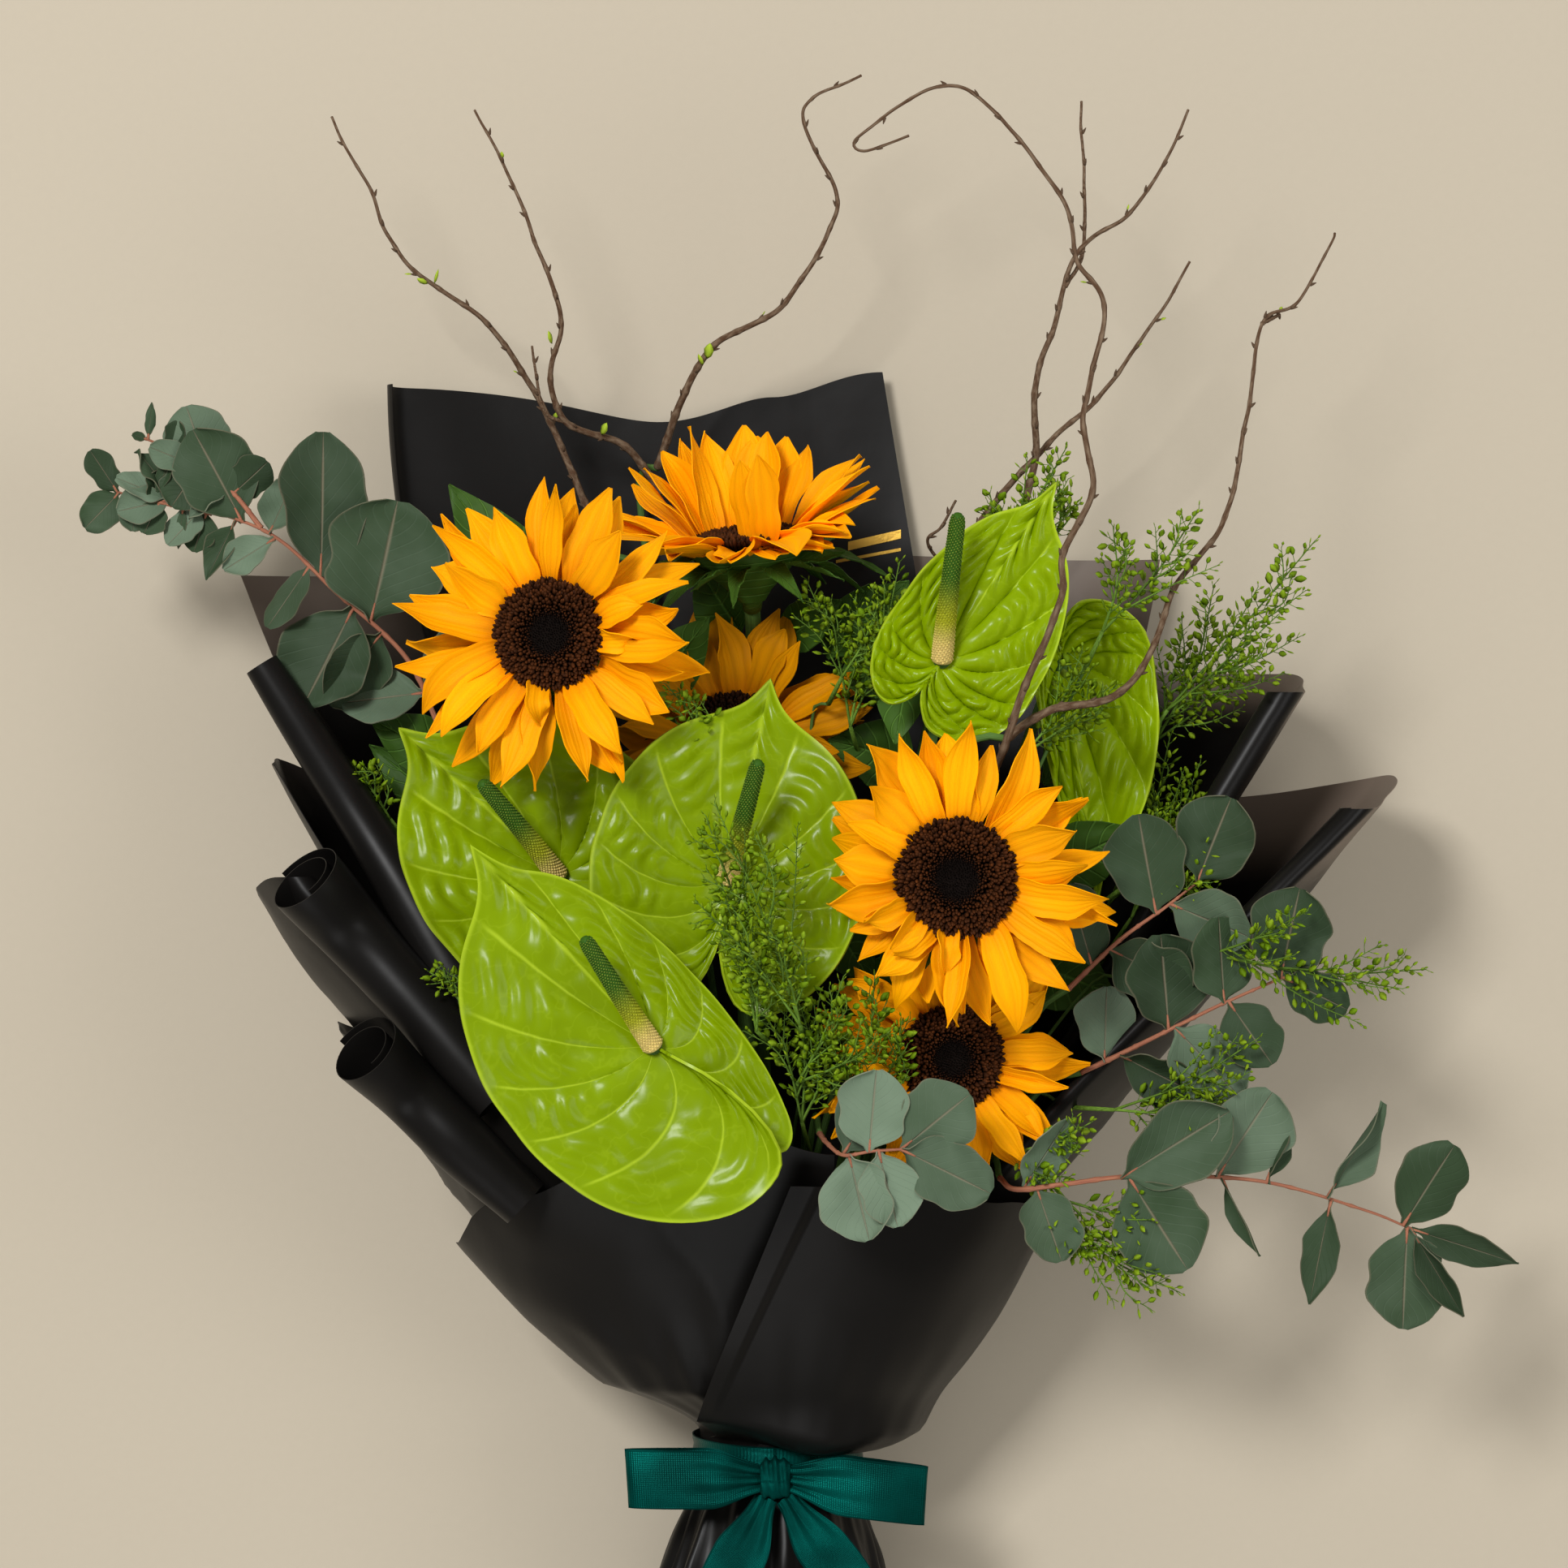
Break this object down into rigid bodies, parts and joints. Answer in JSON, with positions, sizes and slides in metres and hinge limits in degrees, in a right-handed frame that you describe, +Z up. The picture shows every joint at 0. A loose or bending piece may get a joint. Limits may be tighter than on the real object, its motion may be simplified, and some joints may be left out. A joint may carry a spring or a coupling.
{
  "type": "wrapped flower bouquet",
  "caption": "Hand-tied bouquet of sunflowers, anthuriums, eucalyptus and curly willow, wrapped in layered matte film with a ribbon bow, lying on its back.",
  "frame": {"origin": "middle of the bounding box's underside, on the surface that the bouquet lies on", "axes": "+Y from the cut stems to the blooms, +X to the right seen from the blooms' side, +Z up, out of the blooms' faces"},
  "size_m": [0.626, 0.7514, 0.2395],
  "materials": {
    "wrap_film": "matte black wrapping film",
    "ribbon": "satin",
    "stem": "green stem and leaf",
    "sunflower": "soft petals round a dark disc",
    "anthurium": "glossy waxy leaf",
    "eucalyptus": "matte grey-green leaf",
    "willow": "bark",
    "cress": "green pods"
  },
  "bodies": {
    "root": {"wrap_back_low": "wrap_film", "wrap_back_high": "wrap_film", "wrap_left_inner": "wrap_film", "wrap_left_mid": "wrap_film", "wrap_left_low": "wrap_film", "wrap_left_outer": "wrap_film", "wrap_front_left": "wrap_film", "wrap_right_inner": "wrap_film", "wrap_right_outer": "wrap_film", "wrap_front_right": "wrap_film", "wrap_foot": "wrap_film", "ribbon_band": "ribbon", "bow_knot": "ribbon", "bow_loop_left": "ribbon", "bow_loop_right": "ribbon", "bow_tail_left": "ribbon", "bow_tail_right": "ribbon", "stems": "stem", "leaf_1": "stem", "leaf_2": "stem", "leaf_3": "stem", "sunflower_1": "sunflower", "sunflower_2": "sunflower", "sunflower_3": "sunflower", "sunflower_4": "sunflower", "sunflower_5": "sunflower", "anthurium_1": "anthurium", "anthurium_2": "anthurium", "anthurium_3": "anthurium", "anthurium_4": "anthurium", "anthurium_5": "anthurium", "eucalyptus_1": "eucalyptus", "eucalyptus_2": "eucalyptus", "eucalyptus_3": "eucalyptus", "eucalyptus_4": "eucalyptus", "eucalyptus_5": "eucalyptus", "willow_1": "willow", "willow_2": "willow", "willow_3": "willow", "willow_4": "willow", "willow_5": "willow", "willow_6": "willow", "willow_7": "willow", "cress_1": "cress", "cress_2": "cress", "cress_3": "cress", "cress_4": "cress", "cress_5": "cress", "cress_6": "cress", "cress_7": "cress", "cress_8": "cress", "cress_9": "cress", "cress_10": "cress", "cress_11": "cress"}
  },
  "joints": []
}
